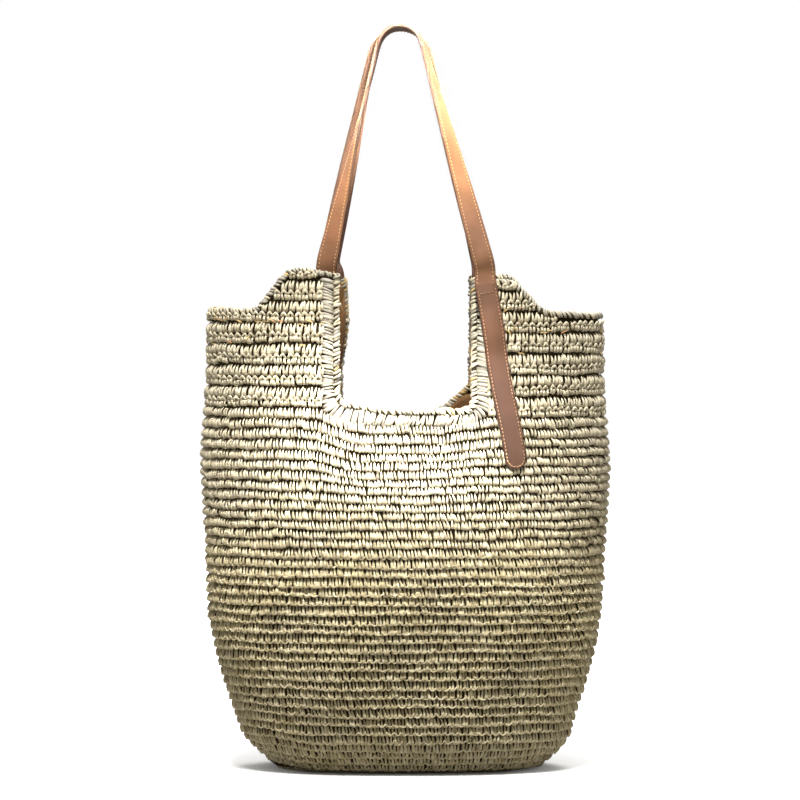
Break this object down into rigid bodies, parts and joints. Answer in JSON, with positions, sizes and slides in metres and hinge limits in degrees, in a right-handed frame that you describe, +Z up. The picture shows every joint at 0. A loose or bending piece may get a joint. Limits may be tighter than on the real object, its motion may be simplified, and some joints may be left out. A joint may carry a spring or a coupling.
{
  "type": "beach bag",
  "caption": "Crocheted straw tote with a cutout in front and back, cloth lining and two long leather shoulder straps that fold down outwards.",
  "frame": {"origin": "middle of the flat base, on the floor", "axes": "+Z up, -Y the front panel, +X to the right seen from the front"},
  "size_m": [0.394, 0.1658, 0.7222],
  "materials": {
    "straw": "natural straw ribbon, crocheted, dull with a slight sheen",
    "lining_cloth": "plain woven cloth, golden brown, dull",
    "leather": "smooth tan leather with topstitching",
    "leather_backing": "dark brown backing leather, dull"
  },
  "bodies": {
    "bag": {"straw_base": "straw", "straw_body": "straw", "left_wing": "straw", "right_wing": "straw", "rim_edging": "straw", "lining_base": "lining_cloth", "lining_front": "lining_cloth", "lining_back": "lining_cloth", "front_strap_outside_end": "leather", "front_strap_inside_end": "leather", "front_outside_tab": "leather", "back_strap_outside_end": "leather", "back_strap_inside_end": "leather", "back_outside_tab": "leather"},
    "front_strap": {"front_strap_outer_ply": "leather", "front_strap_backing_ply": "leather_backing"},
    "back_strap": {"back_strap_outer_ply": "leather", "back_strap_backing_ply": "leather_backing"}
  },
  "joints": [
    {"name": "front_strap_fold", "type": "hinge", "parent": "bag", "child": "front_strap", "pos_m": [0, -0.03885, 0.487], "axis": [0.9971, -0.0762, 0], "range_deg": [0, 110]},
    {"name": "back_strap_fold", "type": "hinge", "parent": "bag", "child": "back_strap", "pos_m": [0, 0.03885, 0.487], "axis": [-0.9971, 0.0762, 0], "range_deg": [0, 110]}
  ]
}
